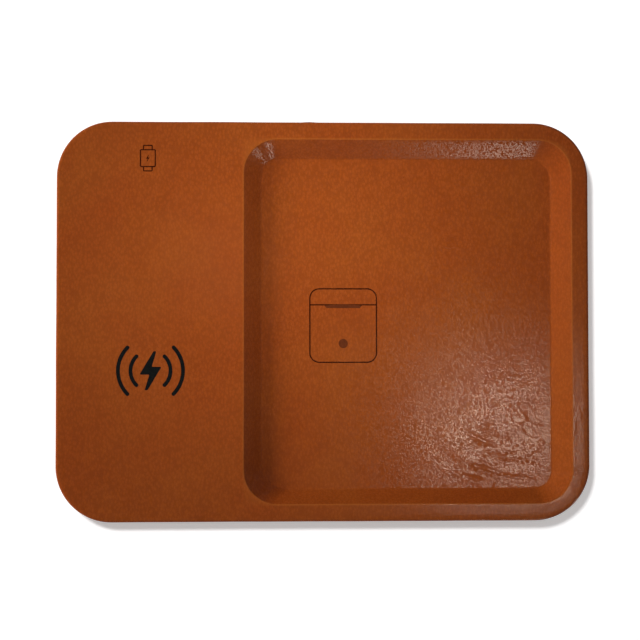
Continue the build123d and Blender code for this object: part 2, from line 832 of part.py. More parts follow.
def connector(face_centre, bottom, outward, pins, pitch, height):
    """A wire-to-board connector whose entry face looks outward."""
    across = (pins - 1) * pitch + 2 * connector_wall
    plane = Plane(origin=(face_centre[0], face_centre[1], bottom), x_dir=(outward[0], outward[1], 0))
    with BuildSketch(plane) as body:
        Rectangle(connector_depth, across, align=(Align.MAX, Align.CENTER))
    extrude(body.sketch, amount=height)
    with BuildSketch(plane.offset(height)) as window:
        with Locations((-connector_depth / 2, 0)):
            Rectangle(connector_depth / 2, across - 2 * connector_wall)
    extrude(window.sketch, amount=-connector_window_depth, mode=Mode.SUBTRACT)


# Connectors, their entry faces near the board's edges
phone_connector_x = phone_x + phone_connector_offset
watch_connector_x = watch_x + watch_connector_offset
phone_face_y = board_front + connector_inset
watch_face_y = board_rear - connector_inset
side_face_x = board_right - connector_inset
usb_face_x = port_x - usb_board_left + connector_inset
coil_pair = (2, coil_pin_pitch, coil_connector_height)
harness_row = (harness_pins, harness_pin_pitch, harness_connector_height)
with BuildPart() as coil_connectors:
    connector((phone_connector_x, phone_face_y), board_top, (0, -1), *coil_pair)
    connector((watch_connector_x, watch_face_y), board_top, (0, 1), *coil_pair)
    connector((side_face_x, earbuds_connector_y), board_top, (1, 0), *coil_pair)
finish(coil_connectors, "coil_connectors")
with BuildPart() as harness_connectors:
    connector((side_face_x, harness_connector_y), board_top, (1, 0), *harness_row)
    connector((usb_face_x, harness_run_y), usb_board_top, (-1, 0), *harness_row)
finish(harness_connectors, "harness_connectors")

# Leads of the phone coil, towards +Y
half_pitch = coil_pin_pitch / 2
phone_outer_x = phone_x + (phone_winding_diameter - phone_wire) / 2
phone_clear_y = phone_y + phone_ferrite_side / 2 + bracket_fence + lead_margin
phone_turn_y = phone_face_y - lead_approach
with BuildPart() as phone_coil_leads:
    lead(
        [
            (phone_outer_x, phone_y, phone_coil_level),
            (phone_outer_x, phone_clear_y, phone_coil_level),
            (phone_connector_x + half_pitch, phone_turn_y, coil_lead_level),
            (phone_connector_x + half_pitch, phone_face_y, coil_lead_level),
        ],
        phone_wire,
    )
    lead(
        [
            (phone_slot_x, phone_y, phone_coil_level),
            (phone_slot_x, phone_y + dip_start, phone_coil_level),
            (phone_slot_x, phone_y + dip_end, phone_slot_level),
            (phone_slot_x, phone_clear_y, phone_slot_level),
            (phone_connector_x - half_pitch, phone_turn_y, coil_lead_level),
            (phone_connector_x - half_pitch, phone_face_y, coil_lead_level),
        ],
        phone_wire,
    )
finish(phone_coil_leads, "phone_coil_leads")

# Leads of the watch coil, towards -Y
watch_outer_x = watch_x - (watch_winding_diameter - watch_wire) / 2
watch_clear_y = holder_front - lead_margin
watch_turn_y = watch_face_y + lead_approach
with BuildPart() as watch_coil_leads:
    lead(
        [
            (watch_outer_x, watch_y, watch_coil_level),
            (watch_outer_x, watch_clear_y, watch_coil_level),
            (watch_connector_x - half_pitch, watch_turn_y, coil_lead_level),
            (watch_connector_x - half_pitch, watch_face_y, coil_lead_level),
        ],
        watch_wire,
    )
    lead(
        [
            (watch_slot_x, watch_y, watch_coil_level),
            (watch_slot_x, watch_y - dip_start, watch_coil_level),
            (watch_slot_x, watch_y - dip_end, watch_slot_level),
            (watch_slot_x, watch_clear_y, watch_slot_level),
            (watch_connector_x + half_pitch, watch_turn_y, coil_lead_level),
            (watch_connector_x + half_pitch, watch_face_y, coil_lead_level),
        ],
        watch_wire,
    )
finish(watch_coil_leads, "watch_coil_leads")

# Leads of the earbuds coil, towards -X under the floor, then up to the main board
earbuds_outer_y = earbuds_y + (earbuds_winding_diameter - earbuds_wire) / 2
earbuds_clear_x = earbuds_x - earbuds_ferrite_side / 2 - lead_margin
recess_left_ceiling_x = recess_x - recess_length / 2 + slope_inset(ceiling, wall_depth, recess_slope)
rise_x = recess_left_ceiling_x - rise_clearance
with BuildPart() as earbuds_coil_leads:
    lead(
        [
            (earbuds_x, earbuds_outer_y, earbuds_coil_level),
            (earbuds_clear_x, earbuds_outer_y, earbuds_coil_level),
            (rise_x, earbuds_connector_y + half_pitch, earbuds_coil_level),
            (rise_x - rise_length, earbuds_connector_y + half_pitch, coil_lead_level),
            (side_face_x, earbuds_connector_y + half_pitch, coil_lead_level),
        ],
        earbuds_wire,
    )
    lead(
        [
            (earbuds_x, earbuds_slot_y, earbuds_coil_level),
            (earbuds_x - dip_start, earbuds_slot_y, earbuds_coil_level),
            (earbuds_x - dip_end, earbuds_slot_y, earbuds_slot_level),
            (earbuds_clear_x, earbuds_slot_y, earbuds_slot_level),
            (rise_x, earbuds_connector_y - half_pitch, earbuds_slot_level),
            (rise_x - rise_length, earbuds_connector_y - half_pitch, coil_lead_level),
            (side_face_x, earbuds_connector_y - half_pitch, coil_lead_level),
        ],
        earbuds_wire,
    )
finish(earbuds_coil_leads, "earbuds_coil_leads")

# Power inlet's board, hung from its two bosses
usb_left = port_x - usb_board_left
usb_length = usb_board_left + usb_board_right
with BuildPart() as usb_board:
    with BuildSketch(Plane.XY.offset(usb_board_bottom)):
        with Locations((usb_left, usb_board_front)):
            Rectangle(usb_length, usb_board_width, align=(Align.MIN, Align.MIN))
        with Locations(*usb_screw_places):
            Circle(small_screw_diameter / 2 + fit, mode=Mode.SUBTRACT)
    extrude(amount=usb_board_thickness)
finish(usb_board, "usb_board")

# Socket's steel shell and the tongue inside it
mouth_plane = Plane.XZ.offset(-socket_mouth)
with BuildPart() as usb_socket_shell:
    with BuildSketch(mouth_plane):
        with Locations((port_x, port_level)):
            SlotOverall(socket_width, socket_height)
    extrude(amount=socket_length)
    with BuildSketch(mouth_plane):
        with Locations((port_x, port_level)):
            SlotOverall(socket_width - 2 * socket_wall, socket_height - 2 * socket_wall)
    extrude(amount=socket_length - socket_wall, mode=Mode.SUBTRACT)
finish(usb_socket_shell, "usb_socket_shell")
socket_back = socket_mouth - socket_length + socket_wall
with BuildPart() as usb_socket_tongue:
    with BuildSketch(Plane.XZ.offset(-socket_back)):
        with Locations((port_x, port_level)):
            SlotOverall(socket_width - 2 * socket_wall - fit, socket_height - 2 * socket_wall - fit)
    extrude(amount=-tongue_root)
    with BuildSketch(Plane.XZ.offset(-socket_back)):
        with Locations((port_x, port_level)):
            Rectangle(tongue_width, tongue_height)
    extrude(amount=-tongue_length)
finish(usb_socket_tongue, "usb_socket_tongue")

# Screws that hold the inlet's board from below
with BuildPart() as usb_board_screws:
    pillars(usb_screw_places, small_head_diameter, base_top + fit, usb_board_bottom)
    pillars(usb_screw_places, small_screw_diameter, base_top + fit, usb_board_top + usb_screw_length - fit)
finish(usb_board_screws, "usb_board_screws")

# Bezel round the inlet, level with the leather, with a flange inside the shell
inner_wall_y = half_width - wall_depth
with BuildPart() as port_bezel:
    with BuildSketch(Plane.XZ.offset(-half_width)):
        with Locations((port_x, port_level)):
            SlotOverall(bezel_width, bezel_height)
    extrude(amount=wall_depth)
    with BuildSketch(Plane.XZ.offset(-inner_wall_y)):
        with Locations((port_x, port_level)):
            SlotOverall(bezel_flange_width, bezel_height)
    extrude(amount=bezel_flange_thickness)
    with BuildSketch(Plane.XZ.offset(-half_width - overrun)):
        with Locations((port_x, port_level)):
            SlotOverall(socket_width + 2 * fit, socket_height + 2 * fit)
    extrude(amount=wall_depth + bezel_flange_thickness + 2 * overrun, mode=Mode.SUBTRACT)
finish(port_bezel, "port_bezel")

# Harness of four wires from the inlet's board to the main board
with BuildPart() as usb_harness:
    for pin in range(harness_pins):
        shift = (pin - (harness_pins - 1) / 2) * harness_pin_pitch
        radii, run_length = lead(
            [
                (usb_face_x, harness_run_y + shift, harness_low),
                (harness_run_x - shift, harness_run_y + shift, harness_low),
                (harness_run_x - shift, harness_connector_y + shift, harness_high),
                (side_face_x, harness_connector_y + shift, harness_high),
            ],
            harness_wire,
        )
        rounded_radii = [round(radius, 1) for radius in radii]
        print(f"harness wire {pin + 1}: radii {rounded_radii}, {run_length:.1f} long")
finish(usb_harness, "usb_harness")
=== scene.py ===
"""Looks of a leather-wrapped catch-all tray that charges a phone, a watch and an earbuds case.

Shapes are worked out in millimetres, in the tray's own frame, and scaled to metres at the end.
"""

import json
import math

import bmesh
import bpy
from mathutils import Matrix, Vector, noise


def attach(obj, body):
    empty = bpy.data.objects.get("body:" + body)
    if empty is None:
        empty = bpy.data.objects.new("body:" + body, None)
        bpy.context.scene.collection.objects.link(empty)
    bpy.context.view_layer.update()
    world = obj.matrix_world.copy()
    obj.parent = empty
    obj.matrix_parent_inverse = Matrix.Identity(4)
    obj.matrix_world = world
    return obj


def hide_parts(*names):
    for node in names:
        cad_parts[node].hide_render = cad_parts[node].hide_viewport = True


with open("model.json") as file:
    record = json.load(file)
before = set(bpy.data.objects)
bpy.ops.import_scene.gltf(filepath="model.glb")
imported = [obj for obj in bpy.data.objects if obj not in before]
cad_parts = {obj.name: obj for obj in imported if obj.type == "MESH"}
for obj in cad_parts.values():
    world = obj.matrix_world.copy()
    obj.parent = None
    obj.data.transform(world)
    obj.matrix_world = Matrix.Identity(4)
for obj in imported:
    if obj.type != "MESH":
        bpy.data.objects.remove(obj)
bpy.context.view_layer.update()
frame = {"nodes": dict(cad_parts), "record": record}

MM = 0.001

# Tray and its pressed-in recess
HALF_LENGTH, HALF_WIDTH = 134.4, 100.7
TOP_LEVEL = 17.97
FLOOR_LEVEL = 8.97
TRAY_CORNER = 28.0
EDGE_ROUNDING = 1.5
RECESS_X = 42.625
RECESS_HALF_LENGTH, RECESS_HALF_WIDTH = 83.025, 91.95
RECESS_CORNER = 17.0
RECESS_SLOPE = 8.9
FRONT_SLOPE = 6.8
# Radii of the recess's corners at its foot, by the sides of its centre that they are on
FOOT_CORNERS = {(-1, -1): 13.0, (1, -1): 9.5, (-1, 1): 8.1, (1, 1): 10.5}
LIP_ROUNDING = 0.9
FOOT_ROUNDING = 1.3
HEM_ROUNDING = 0.8
HEM_LEVEL = 2.2
HEM_WIDTH = 5.0
LEATHER_THICKNESS = 1.0

# Power inlet in the rear edge
PORT_X, PORT_LEVEL = -7.25, 6.93
HUMP_WIDTH, HUMP_LEVEL, HUMP_REACH = 6.5, 13.2, 5.2
HUMP_DEPTH = 0.6
HUMP_START = HALF_WIDTH - EDGE_ROUNDING - 0.5
PORT_OPENING = (13.6, 6.6)
BEZEL_SIZE = (13.0, 6.0)
BEZEL_HOLE = (9.54, 3.86)
BEZEL_PROUD = 0.45
BEZEL_DEPTH = 1.0
# Its lip, outside and in the hole, as pairs: how far from full size, and how far behind the face
BEZEL_OUTSIDE = [(0.0, 0.45), (0.12, 0.2), (0.4, 0.04), (0.8, 0.0)]
BEZEL_INSIDE = [(0.9, 0.0), (0.35, 0.1), (0.08, 0.35), (0.0, 0.7)]
LOOP_POINTS = 48
CUTTER_REACH = 3

# Creases pressed into the leather: start, middle, end and depth, in plan
CREASES = [
    ((79.6, -51.0), (82.7, -52.1), (86.3, -51.3), 0.06),
    ((72.0, -55.6), (80.7, -60.7), (89.1, -63.8), 0.07),
    ((75.5, -62.2), (78.6, -63.6), (81.5, -64.6), 0.05),
    ((90.9, -65.3), (95.0, -67.4), (99.1, -68.1), 0.06),
    ((73.8, -72.8), (82.2, -74.8), (90.4, -77.6), 0.11),
    ((90.4, -77.6), (96.5, -79.3), (102.4, -79.9), 0.07),
    ((71.4, -78.5), (77.1, -80.1), (81.7, -81.5), 0.10),
    ((63.4, 70.9), (71.3, 69.7), (79.2, 69.1), -0.09),
    ((72.1, 67.6), (77.7, 65.9), (83.5, 65.1), -0.10),
    ((74.9, 73.4), (78.6, 72.7), (82.1, 72.3), -0.08),
    ((44.0, 73.7), (46.8, 73.0), (49.8, 72.7), -0.07),
    ((86.4, 52.9), (89.8, 52.3), (92.9, 52.1), -0.08),
    ((58.4, 39.2), (64.8, 38.3), (71.3, 38.1), -0.08),
]
CREASE_WIDTH = 0.9
# In such widths from the crease's line: the raised shoulder, and the end of the relief
SHOULDER_PLACE, CREASE_SPREAD = 2, 4
SHOULDER_HEIGHT = 0.4
# Share of a crease's length at each end over which it fades no further
CREASE_END = 0.02

# Soft folds in the front right of the recess, and the slow swell of the whole hide
PUFF_CENTRE, PUFF_REACH, PUFF_DEPTH = (84.0, -62.0), 36.0, 0.22
PUFF_SQUEEZE = 1.2
FOLD_TURN = math.radians(16)
FOLD_LENGTH, FOLD_WIDTH, FOLD_LAYER = 20, 8, 3.1
SWELL_DEPTH = 0.10
SWELL_SPAN, SWELL_HEIGHT = 34, 20
HEM_FADE = 4

# Marks let into the leather: centre and half size, in plan, round which it lies flat
MARKS = [
    ((-87.05, -24.9), (18.0, 13.5)),
    ((-88.65, 82.05), (5.5, 8.5)),
    ((10.1, -2.04), (19.0, 20.5)),
]
MARK_FADE = 12.0
# Thumb notch and dot of the earbuds mark: centre and half size, in plan
PRINTED_AREAS = [((10.1, 7.6), (10.5, 1.15)), ((10.1, -11.2), (2.6, 2.6))]


# Leather skin

def run_of(start, end, cells):
    """Evenly spaced lines after start, up to end."""
    return [start + (end - start) * k / cells for k in range(1, cells + 1)]


# Cells of the hide's grid, seen from above
CORNER_CELLS = 10
RIM_CELLS = 3
PAD_CELLS = 38
LONG_CELLS, WIDE_CELLS = 82, 94
# Cells down the recess's wall, and from the top edge down and in under the hem
LIP_CELLS, SLOPE_CELLS, FOOT_CELLS = 5, 6, 5
EDGE_CELLS, SIDE_CELLS, HEM_TURN_CELLS, HEM_CELLS = 7, 7, 4, 3
# A new ring starts this far inside the last one, before it is put in its own place
RING_START = 1e-4
HOLE_MARGIN = 1.0

# The recess's floor has a finer grid within this distance of a crease
CREASE_REACH = 3.4
FINE_CUTS = 2
# Heights above the floor up to which it is given the finer grid, and up to which it is creased
FINE_BAND, FLOOR_BAND = 0.2, 0.3
# Upward part of the normal above which the hide lies flat round a mark
FACES_UP = 0.5

FLAT_LENGTH, FLAT_WIDTH = HALF_LENGTH - EDGE_ROUNDING, HALF_WIDTH - EDGE_ROUNDING
STRAIGHT_X = RECESS_HALF_LENGTH - RECESS_CORNER
STRAIGHT_Y = RECESS_HALF_WIDTH - RECESS_CORNER
HOLE_CORNER = RECESS_CORNER + HOLE_MARGIN


def recess_lines(centre, straight, cells):
    """Grid lines across the recess's opening: a corner, the straight part and a corner."""
    low, high = centre - straight, centre + straight
    lines = run_of(low - HOLE_CORNER, low, CORNER_CELLS) + run_of(low, high, cells)
    return lines + run_of(high, high + HOLE_CORNER, CORNER_CELLS)


hole_left = RECESS_X - STRAIGHT_X - HOLE_CORNER
hole_right = RECESS_X + STRAIGHT_X + HOLE_CORNER
hole_rear = STRAIGHT_Y + HOLE_CORNER
column_lines = [-FLAT_LENGTH] + run_of(-FLAT_LENGTH, hole_left, PAD_CELLS)
column_lines += recess_lines(RECESS_X, STRAIGHT_X, LONG_CELLS)
column_lines += run_of(hole_right, FLAT_LENGTH, RIM_CELLS)
row_lines = [-FLAT_WIDTH] + run_of(-FLAT_WIDTH, -hole_rear, RIM_CELLS)
row_lines += recess_lines(0.0, STRAIGHT_Y, WIDE_CELLS)
row_lines += run_of(hole_rear, FLAT_WIDTH, RIM_CELLS)
first_column, last_column = PAD_CELLS, len(column_lines) - 1 - RIM_CELLS
first_row, last_row = RIM_CELLS, len(row_lines) - 1 - RIM_CELLS


def round_corner(x, y):
    """Square corner shares pushed in to a quarter circle, from 0 at its middle to 1 at its arc."""
    return x * math.sqrt(1 - y * y / 2), y * math.sqrt(1 - x * x / 2)


def past(value, limit):
    """How far a value lies beyond plus or minus a limit, with its sign."""
    return math.copysign(max(abs(value) - limit, 0.0), value)


def flat_place(column, row):
    """Where a grid point lies on the tray's flat top, and its shares of the corner it is in."""
    x, y = column_lines[column], row_lines[row]
    radius = TRAY_CORNER - EDGE_ROUNDING
    straight_x, straight_y = FLAT_LENGTH - radius, FLAT_WIDTH - radius
    shares = (past(x, straight_x) / radius, past(y, straight_y) / radius)
    turned = round_corner(*shares)
    return (
        x - past(x, straight_x) + turned[0] * radius,
        y - past(y, straight_y) + turned[1] * radius,
        turned,
    )


def recess_share(index, first, last):
    """A grid line's share of the recess's corner, from -1 to 1, and 0 along the straight part."""
    if index < first + CORNER_CELLS:
        return (index - first) / CORNER_CELLS - 1
    if index > last - CORNER_CELLS:
        return (index - last) / CORNER_CELLS + 1
    return 0.0


def recess_place(column, row, inset):
    """Where a grid point lies on the recess's outline moved in by inset, or inside it."""
    depth = min(max(inset / RECESS_SLOPE, 0.0), 1.0)
    share_x = recess_share(column, first_column, last_column)
    share_y = recess_share(row, first_row, last_row)
    x = min(max(column_lines[column] - RECESS_X, -STRAIGHT_X), STRAIGHT_X)
    y = min(max(row_lines[row], -STRAIGHT_Y), STRAIGHT_Y)
    foot_corner = FOOT_CORNERS[(math.copysign(1, x), math.copysign(1, y))]
    nearness = abs(x * y) / (STRAIGHT_X * STRAIGHT_Y)
    grown = (foot_corner + RECESS_SLOPE - RECESS_CORNER) * depth * nearness
    radius = RECESS_CORNER - inset + grown
    turned = round_corner(share_x, share_y)
    x += turned[0] * radius - math.copysign(grown, x)
    y += turned[1] * radius - math.copysign(grown, y)
    reach = RECESS_HALF_WIDTH - inset
    y -= (RECESS_SLOPE - FRONT_SLOPE) * depth * (reach - y) / (2 * reach)
    return RECESS_X + x, y


def arc(centre, radius, start, end, steps):
    """Points along an arc, in degrees, both ends included."""
    angles = [math.radians(start + (end - start) * k / steps) for k in range(steps + 1)]
    return [(centre[0] + radius * math.cos(a), centre[1] + radius * math.sin(a)) for a in angles]


# Painted highlight over the recess's lip, a paler tan, ring by ring from the flat top down
LIP_HIGHLIGHT = (0.5, 1.0, 1.0, 0.8, 0.4)

# Recess wall as (inset, level) pairs: over the lip, down the slope and round its foot
slope_degrees = math.degrees(math.atan2(TOP_LEVEL - FLOOR_LEVEL, RECESS_SLOPE))
half_tangent = math.tan(math.radians(slope_degrees / 2))
lip_centre = (-LIP_ROUNDING * half_tangent, TOP_LEVEL - LIP_ROUNDING)
foot_centre = (RECESS_SLOPE + FOOT_ROUNDING * half_tangent, FLOOR_LEVEL + FOOT_ROUNDING)
wall_points = arc(lip_centre, LIP_ROUNDING, 90, 90 - slope_degrees, LIP_CELLS)
foot_points = arc(foot_centre, FOOT_ROUNDING, 270 - slope_degrees, 270, FOOT_CELLS)
slope_ends = zip(wall_points[-1], foot_points[0])
slope_points = list(zip(*(run_of(start, end, SLOPE_CELLS) for start, end in slope_ends)))
wall_points += slope_points[:-1] + foot_points

# Outer edge as (outset, level) pairs: over the top edge, down the side and in under the hem
edge_points = arc((0, TOP_LEVEL - EDGE_ROUNDING), EDGE_ROUNDING, 90, 0, EDGE_CELLS)[1:]
side_top, side_foot = edge_points[-1][1], HEM_LEVEL + HEM_ROUNDING
edge_points += [(EDGE_ROUNDING, level) for level in run_of(side_top, side_foot, SIDE_CELLS)]
hem_start, hem_end = EDGE_ROUNDING - HEM_ROUNDING, EDGE_ROUNDING - HEM_WIDTH
edge_points += arc((hem_start, side_foot), HEM_ROUNDING, 0, -90, HEM_TURN_CELLS)[1:]
edge_points += [(outset, HEM_LEVEL) for outset in run_of(hem_start, hem_end, HEM_CELLS)]


def crease_distance(x, y, crease):
    """Distance from a crease's bent line, and the share along it, in plan."""
    start, middle, end, _ = crease
    best = (1e9, 0.0)
    for k, (a, b) in enumerate(((start, middle), (middle, end))):
        run = (b[0] - a[0], b[1] - a[1])
        share = ((x - a[0]) * run[0] + (y - a[1]) * run[1]) / (run[0] ** 2 + run[1] ** 2)
        share = min(max(share, 0.0), 1.0)
        away = math.hypot(x - a[0] - share * run[0], y - a[1] - share * run[1])
        best = min(best, (away, (k + share) / 2))
    return best


def crease_relief(x, y):
    """Depth of the creases at a place on the floor of the recess."""
    relief = 0.0
    for crease in CREASES:
        away, share = crease_distance(x, y, crease)
        if away < CREASE_SPREAD * CREASE_WIDTH:
            share = min(max(share, CREASE_END), 1 - CREASE_END)
            taper = math.sin(math.pi * share) ** 0.5
            valley = math.exp(-((away / CREASE_WIDTH) ** 2))
            shoulder = math.exp(-(((away - SHOULDER_PLACE * CREASE_WIDTH) / CREASE_WIDTH) ** 2))
            relief += crease[3] * taper * (SHOULDER_HEIGHT * shoulder - valley)
    return relief


def puffiness(x, y):
    """Soft folds of loose leather in the front right of the recess."""
    away = math.hypot(x - PUFF_CENTRE[0], (y - PUFF_CENTRE[1]) * PUFF_SQUEEZE) / PUFF_REACH
    if away >= 1:
        return 0.0
    along = Matrix.Rotation(FOLD_TURN, 2) @ Vector((x, y))
    fold = noise.noise(Vector((along.x / FOLD_LENGTH, along.y / FOLD_WIDTH, FOLD_LAYER)))
    return PUFF_DEPTH * (1 - away * away) ** 2 * fold


def looseness(x, y):
    """0 over a mark and 1 away from it."""
    nearest = 1.0
    for (mark_x, mark_y), (half_x, half_y) in MARKS:
        away = math.hypot(past(x - mark_x, half_x), past(y - mark_y, half_y))
        nearest = min(nearest, away / MARK_FADE)
    return nearest * nearest * (3 - 2 * nearest)


def port_hump(x, y, z):
    """How far the hide stands out over the power inlet, in the rear side."""
    if y < HUMP_START:
        return 0.0
    away = math.hypot((x - PORT_X) / HUMP_WIDTH, (z - HUMP_LEVEL) / HUMP_REACH)
    return HUMP_DEPTH * max(1 - away * away, 0.0) ** 2


def make_leather():
    """The hide: one sheet pressed into the recess, wrapped over the edge and turned under."""
    bm = bmesh.new()
    columns, rows = len(column_lines) - 1, len(row_lines) - 1
    bmesh.ops.create_grid(bm, x_segments=columns, y_segments=rows, size=1)
    column_of = bm.verts.layers.int.new("column")
    row_of = bm.verts.layers.int.new("row")
    ring_of = bm.verts.layers.int.new("ring")
    edge_of = bm.verts.layers.int.new("edge")
    # Share of the painted highlight along the recess's lip
    highlight_of = bm.verts.layers.float.new("lip_highlight_paint")
    for v in bm.verts:
        v[column_of] = round((v.co.x + 1) / 2 * columns)
        v[row_of] = round((v.co.y + 1) / 2 * rows)

    def in_recess(v):
        """Whether a point belongs to the recess or its outline."""
        across = first_column <= v[column_of] <= last_column
        return across and first_row <= v[row_of] <= last_row

    # Rings for the recess's wall, each inset in the block of faces that it surrounds
    block = [f for f in bm.faces if all(in_recess(v) for v in f.verts)]
    for ring in range(1, len(wall_points) + 1):
        bmesh.ops.inset_region(bm, faces=block, thickness=RING_START, use_boundary=True)
        for v in {v for f in block for v in f.verts}:
            v[ring_of] = ring

    # Rings for the outer edge
    border = [e for e in bm.edges if e.is_boundary]
    for ring in range(1, len(edge_points) + 1):
        grown = bmesh.ops.extrude_edge_only(bm, edges=border)["geom"]
        border = [e for e in grown if isinstance(e, bmesh.types.BMEdge) and e.is_boundary]
        for v in {v for e in border for v in e.verts}:
            v[edge_of] = ring

    for v in bm.verts:
        column, row, ring, edge = v[column_of], v[row_of], v[ring_of], v[edge_of]
        if ring:
            inset, level = wall_points[ring - 1]
            v.co = (*recess_place(column, row, inset), level)
            # The lip's rings take the painted highlight
            v[highlight_of] = LIP_HIGHLIGHT[ring - 1] if ring <= len(LIP_HIGHLIGHT) else 0.0
            continue
        x, y, turned = flat_place(column, row)
        if edge:
            out = Vector(turned)
            if out.x == 0 or out.y == 0:
                side_x = (column == columns) - (column == 0)
                side_y = (row == rows) - (row == 0)
                out = Vector((side_x, side_y)) if not (side_x and side_y) else out
            out.normalize()
            outset, level = edge_points[edge - 1]
            v.co = (x + out.x * outset, y + out.y * outset, level)
        else:
            v.co = (x, y, TOP_LEVEL)

    # A finer grid round the creases
    creased = set()
    for f in bm.faces:
        centre = f.calc_center_median()
        near = any(crease_distance(centre.x, centre.y, c)[0] < CREASE_REACH for c in CREASES)
        if centre.z < FLOOR_LEVEL + FINE_BAND and (near or puffiness(centre.x, centre.y)):
            creased.add(f)
    edges = {e for f in creased for e in f.edges}
    bmesh.ops.subdivide_edges(bm, edges=list(edges), cuts=FINE_CUTS, use_grid_fill=True)

    bmesh.ops.recalc_face_normals(bm, faces=bm.faces)
    bm.normal_update()
    for v in bm.verts:
        x, y, z = v.co
        place = Vector((x / SWELL_SPAN, y / SWELL_SPAN, z / SWELL_HEIGHT))
        swell = SWELL_DEPTH * noise.noise(place)
        swell *= min(1.0, (z - HEM_LEVEL) / HEM_FADE) if z > HEM_LEVEL else 0.0
        if z < FLOOR_LEVEL + FLOOR_BAND and v[ring_of]:
            swell += crease_relief(x, y) + puffiness(x, y)
        if v.normal.z > FACES_UP:
            swell *= looseness(x, y)
        v.co = v.co + v.normal * swell + Vector((0, port_hump(x, y, z), 0))
    for f in bm.faces:
        f.smooth = True
    bmesh.ops.scale(bm, vec=(MM, MM, MM), verts=bm.verts)
    return finished("leather_skin", bm)


# Pieces

def finished(name, bm):
    """A new object from a bmesh, at the origin."""
    mesh = bpy.data.meshes.new(name)
    bm.to_mesh(mesh)
    bm.free()
    piece = bpy.data.objects.new(name, mesh)
    bpy.context.scene.collection.objects.link(piece)
    return piece


def settle(piece):
    """Turn a piece's modifiers into its mesh."""
    shown = piece.evaluated_get(bpy.context.evaluated_depsgraph_get())
    mesh = bpy.data.meshes.new_from_object(shown)
    piece.modifiers.clear()
    piece.data = mesh


def slot_loop(bm, width, height, y):
    """An upright loop with half-round ends, round the power inlet."""
    made = bmesh.ops.create_circle(bm, segments=LOOP_POINTS, radius=height / 2)["verts"]
    straight = (width - height) / 2
    for v in made:
        side = (v.co.x > 1e-6) - (v.co.x < -1e-6)
        v.co = (PORT_X + v.co.x + side * straight, y, PORT_LEVEL + v.co.y)
    return made


def make_port_cutter():
    """A plug that cuts the inlet's opening through the leather's side."""
    bm = bmesh.new()
    loop = slot_loop(bm, *PORT_OPENING, HALF_WIDTH + CUTTER_REACH)
    face = bmesh.ops.contextual_create(bm, geom=loop)["faces"]
    grown = bmesh.ops.extrude_face_region(bm, geom=face)["geom"]
    moved = [g for g in grown if isinstance(g, bmesh.types.BMVert)]
    bmesh.ops.translate(bm, vec=(0, -2 * CUTTER_REACH, 0), verts=moved)
    bmesh.ops.recalc_face_normals(bm, faces=bm.faces)
    bmesh.ops.scale(bm, vec=(MM, MM, MM), verts=bm.verts)
    return finished("port_cutter", bm)


def make_bezel():
    """The inlet's frame: a rounded lip that stands a little proud of the leather."""
    outer_w, outer_h = BEZEL_SIZE
    hole_w, hole_h = BEZEL_HOLE
    face = HALF_WIDTH + BEZEL_PROUD
    back = HALF_WIDTH - LEATHER_THICKNESS - BEZEL_DEPTH
    profile = [(outer_w, outer_h, back)]
    profile += [(outer_w - less, outer_h - less, face - deep) for less, deep in BEZEL_OUTSIDE]
    profile += [(hole_w + more, hole_h + more, face - deep) for more, deep in BEZEL_INSIDE]
    profile.append((hole_w, hole_h, back))
    bm = bmesh.new()
    rings = []
    for width, height, y in profile:
        loop = slot_loop(bm, width, height, y)
        rings.append({e for v in loop for e in v.link_edges})
    for before, after in zip(rings, rings[1:] + rings[:1]):
        bmesh.ops.bridge_loops(bm, edges=list(before | after))
    bmesh.ops.recalc_face_normals(bm, faces=bm.faces)
    for f in bm.faces:
        f.smooth = True
    bmesh.ops.scale(bm, vec=(MM, MM, MM), verts=bm.verts)
    return finished("inlet_bezel", bm)


leather = make_leather()
thickness = leather.modifiers.new("thickness", "SOLIDIFY")
thickness.thickness = LEATHER_THICKNESS * MM
thickness.offset = -1
cutter = make_port_cutter()
opening = leather.modifiers.new("opening", "BOOLEAN")
opening.operation = "DIFFERENCE"
opening.solver = "EXACT"
opening.object = cutter
settle(leather)
bpy.data.objects.remove(cutter)
bezel = make_bezel()


# Materials

def new_finish(name):
    """A material, its node tree and its shader."""
    material = bpy.data.materials.new(name)
    material.use_nodes = True
    tree = material.node_tree
    return material, tree, tree.nodes["Principled BSDF"]


def put(tree, kind, inputs=(), **settings):
    """A node with its settings, and each input a number, a colour or another node's socket."""
    made = tree.nodes.new(kind)
    for key, value in settings.items():
        setattr(made, key, value)
    for key, value in dict(inputs).items():
        if isinstance(value, bpy.types.NodeSocket):
            tree.links.new(value, made.inputs[key])
        else:
            made.inputs[key].default_value = value
    return made


def object_place(tree, scale=(1, 1, 1)):
    """Object coordinates, stretched by a scale."""
    place = put(tree, "ShaderNodeTexCoord").outputs["Object"]
    return put(tree, "ShaderNodeMapping", {"Vector": place, "Scale": scale}).outputs[0]


def cloud(tree, scale, detail=2.0, roughness=0.5):
    """Noise in cycles a metre."""
    place = object_place(tree)
    inputs = {"Vector": place, "Scale": scale, "Detail": detail, "Roughness": roughness}
    return put(tree, "ShaderNodeTexNoise", inputs).outputs["Fac"]


def ramp(tree, factor, stops):
    """A colour ramp through (place, colour) stops."""
    made = put(tree, "ShaderNodeValToRGB", {"Fac": factor})
    band = made.color_ramp
    for place, colour in stops[2:]:
        band.elements.new(place)
    for element, (place, colour) in zip(band.elements, sorted(stops)):
        element.position = place
        element.color = (*colour, 1)
    return made.outputs["Color"]


def spread(tree, value, low, high):
    """A 0 to 1 value moved to a new range."""
    made = put(tree, "ShaderNodeMapRange", {"Value": value, "To Min": low, "To Max": high})
    return made.outputs[0]


def bumped(tree, shader, height, strength, distance):
    """A bump in the shader's surface."""
    inputs = {"Height": height, "Strength": strength, "Distance": distance}
    made = put(tree, "ShaderNodeBump", inputs)
    tree.links.new(made.outputs["Normal"], shader.inputs["Normal"])


